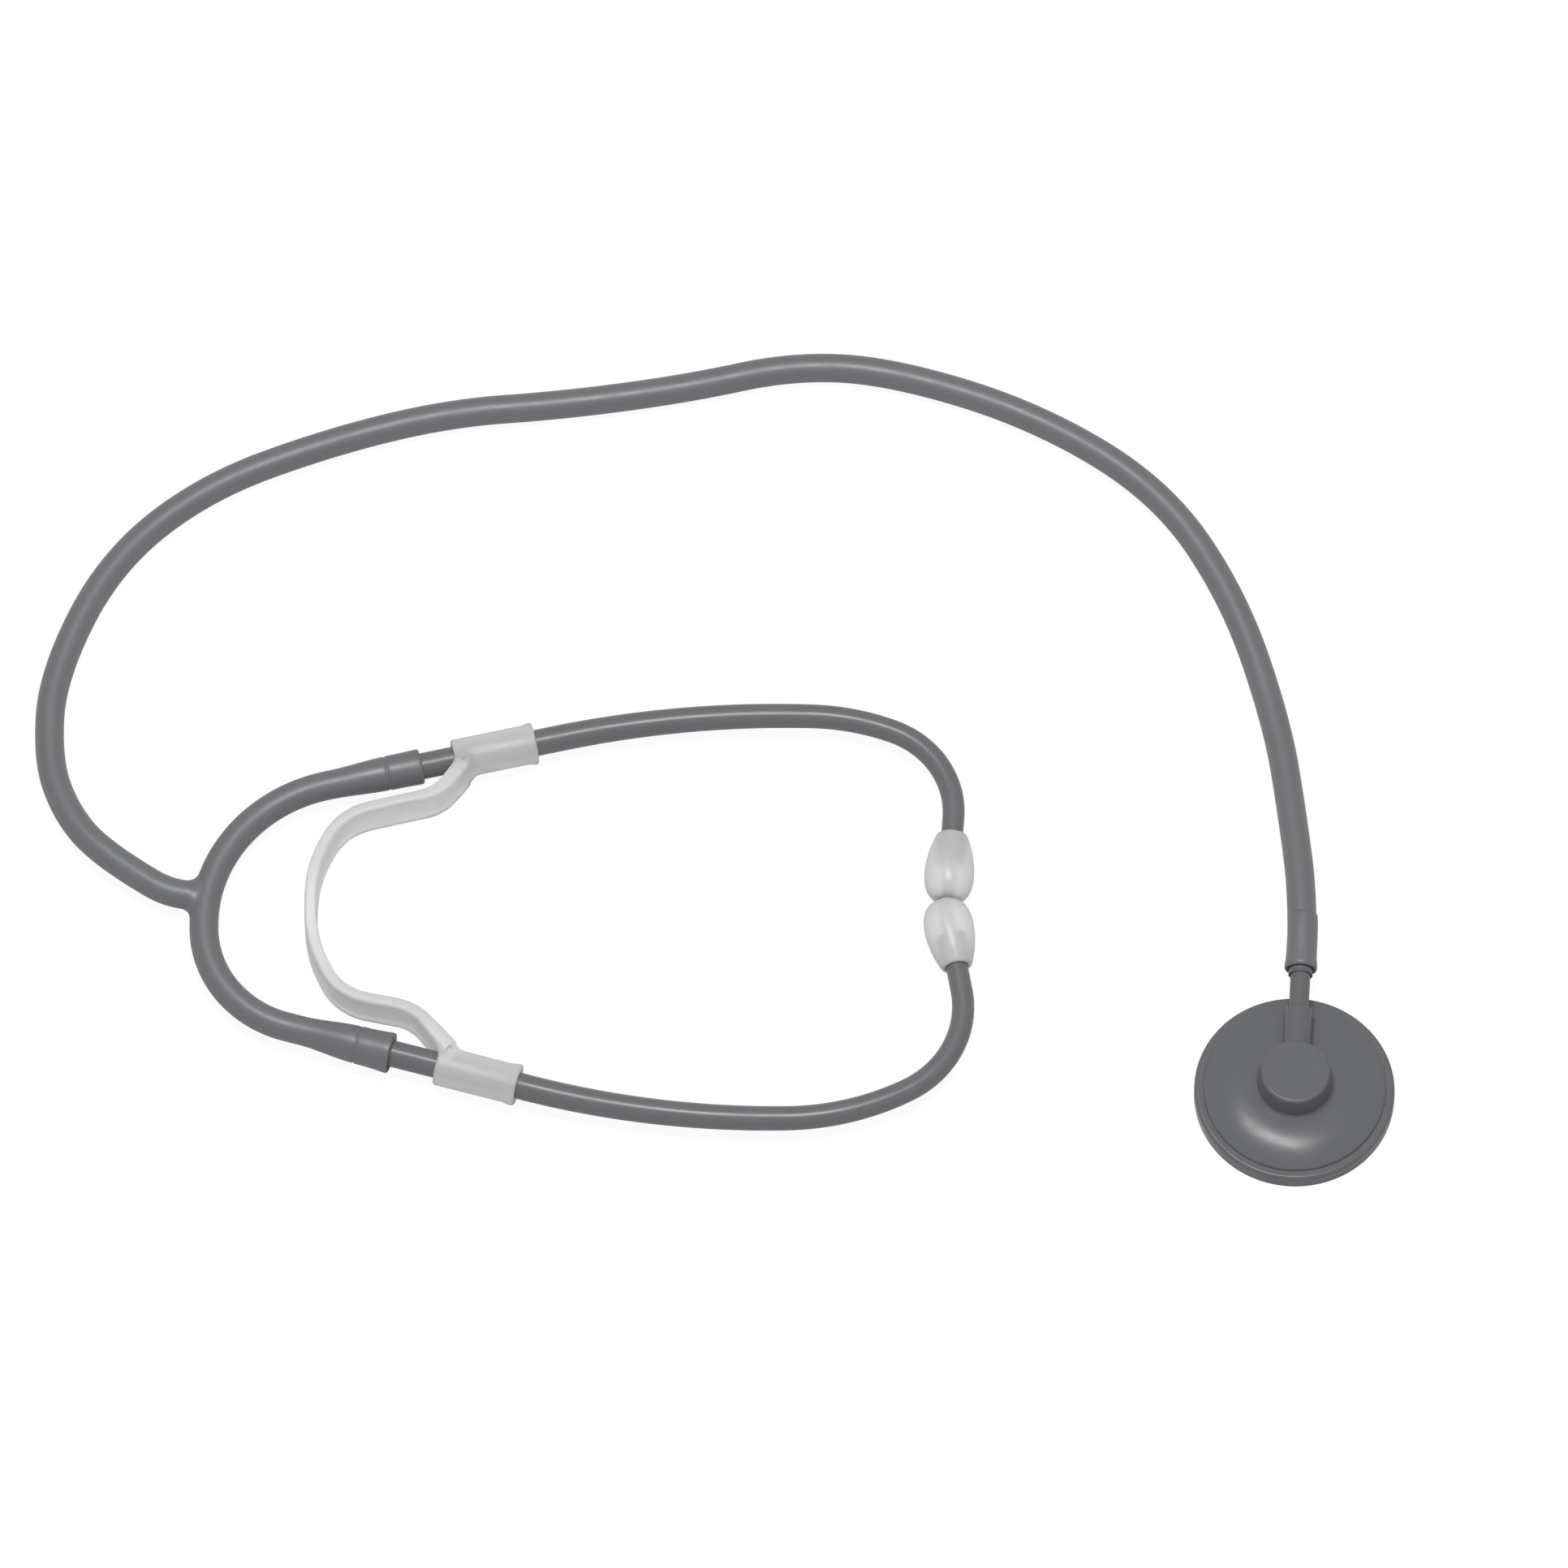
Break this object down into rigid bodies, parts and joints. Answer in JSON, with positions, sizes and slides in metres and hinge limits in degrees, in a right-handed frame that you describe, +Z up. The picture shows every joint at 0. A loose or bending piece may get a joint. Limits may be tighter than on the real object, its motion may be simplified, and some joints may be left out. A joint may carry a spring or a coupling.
{
  "type": "stethoscope",
  "caption": "Plastic stethoscope with a domed chestpiece, Y tubing, sprung ear tubes and translucent ear tips, laid out in a loose loop.",
  "frame": {"origin": "centre of the diaphragm ring's flat bottom face, where the chestpiece rests on the table", "axes": "+Z up from the table; the stem points 3.4 degrees off +Y; the headset lies towards -X"},
  "size_m": [0.3273, 0.222, 0.014],
  "materials": {
    "tubing": "smooth extruded grey vinyl with a soft sheen",
    "ear_tubes": "smooth grey plastic, semi-gloss",
    "chestpiece": "grey moulded plastic with a glossy dome",
    "diaphragm": "thin stiff pale laminate, faint weave",
    "spring": "natural translucent white plastic, satin",
    "ear_tips": "natural translucent white plastic, smooth"
  },
  "bodies": {
    "tubing": {"main_tube": "tubing", "y_tube": "tubing", "spring_leaf": "spring"},
    "chestpiece": {"chest_body": "chestpiece", "stem": "chestpiece", "diaphragm": "diaphragm", "diaphragm_ring": "chestpiece"},
    "spring_arm_upper": {"spring_sleeve_upper": "spring"},
    "ear_tube_upper": {"ear_tube_upper": "ear_tubes"},
    "ear_tip_upper": {"ear_tip_upper": "ear_tips"},
    "spring_arm_lower": {"spring_sleeve_lower": "spring"},
    "ear_tube_lower": {"ear_tube_lower": "ear_tubes"},
    "ear_tip_lower": {"ear_tip_lower": "ear_tips"}
  },
  "joints": [
    {"name": "spread_upper", "type": "hinge", "parent": "tubing", "child": "spring_arm_upper", "pos_m": [-0.2275, 0.0705, 0.00605], "axis": [0, 0, 1], "range_deg": [0, 25], "stiffness_Nm_per_rad": 0.7, "springref_deg": -2.86, "deforming": ["y_tube", "spring_leaf"]},
    {"name": "twist_upper", "type": "hinge", "parent": "spring_arm_upper", "child": "ear_tube_upper", "pos_m": [-0.19205, 0.08891, 0.00605], "axis": [0.9751, 0.2215, 0], "range_deg": [-20, 20]},
    {"name": "tip_turn_upper", "type": "hinge", "parent": "ear_tube_upper", "child": "ear_tip_upper", "pos_m": [-0.08167, 0.06631, 0.00605], "axis": [-0.0698, -0.9976, 0], "continuous": true},
    {"name": "spread_lower", "type": "hinge", "parent": "tubing", "child": "spring_arm_lower", "pos_m": [-0.2275, 0.0225, 0.00605], "axis": [0, 0, -1], "range_deg": [0, 25], "stiffness_Nm_per_rad": 0.7, "springref_deg": -2.86},
    {"name": "twist_lower", "type": "hinge", "parent": "spring_arm_lower", "child": "ear_tube_lower", "pos_m": [-0.19539, 0.00262, 0.00605], "axis": [0.9632, -0.2689, 0], "range_deg": [-20, 20]},
    {"name": "tip_turn_lower", "type": "hinge", "parent": "ear_tube_lower", "child": "ear_tip_lower", "pos_m": [-0.08067, 0.03132, 0.00605], "axis": [-0.1736, 0.9848, 0], "continuous": true},
    {"name": "chestpiece_turn", "type": "hinge", "parent": "tubing", "child": "chestpiece", "pos_m": [0.00171, 0.02875, 0.0097], "axis": [0.0593, 0.9982, 0], "continuous": true}
  ],
  "couplings": [
    {"joint": "spread_lower", "follows": "spread_upper", "ratio": 1}
  ]
}
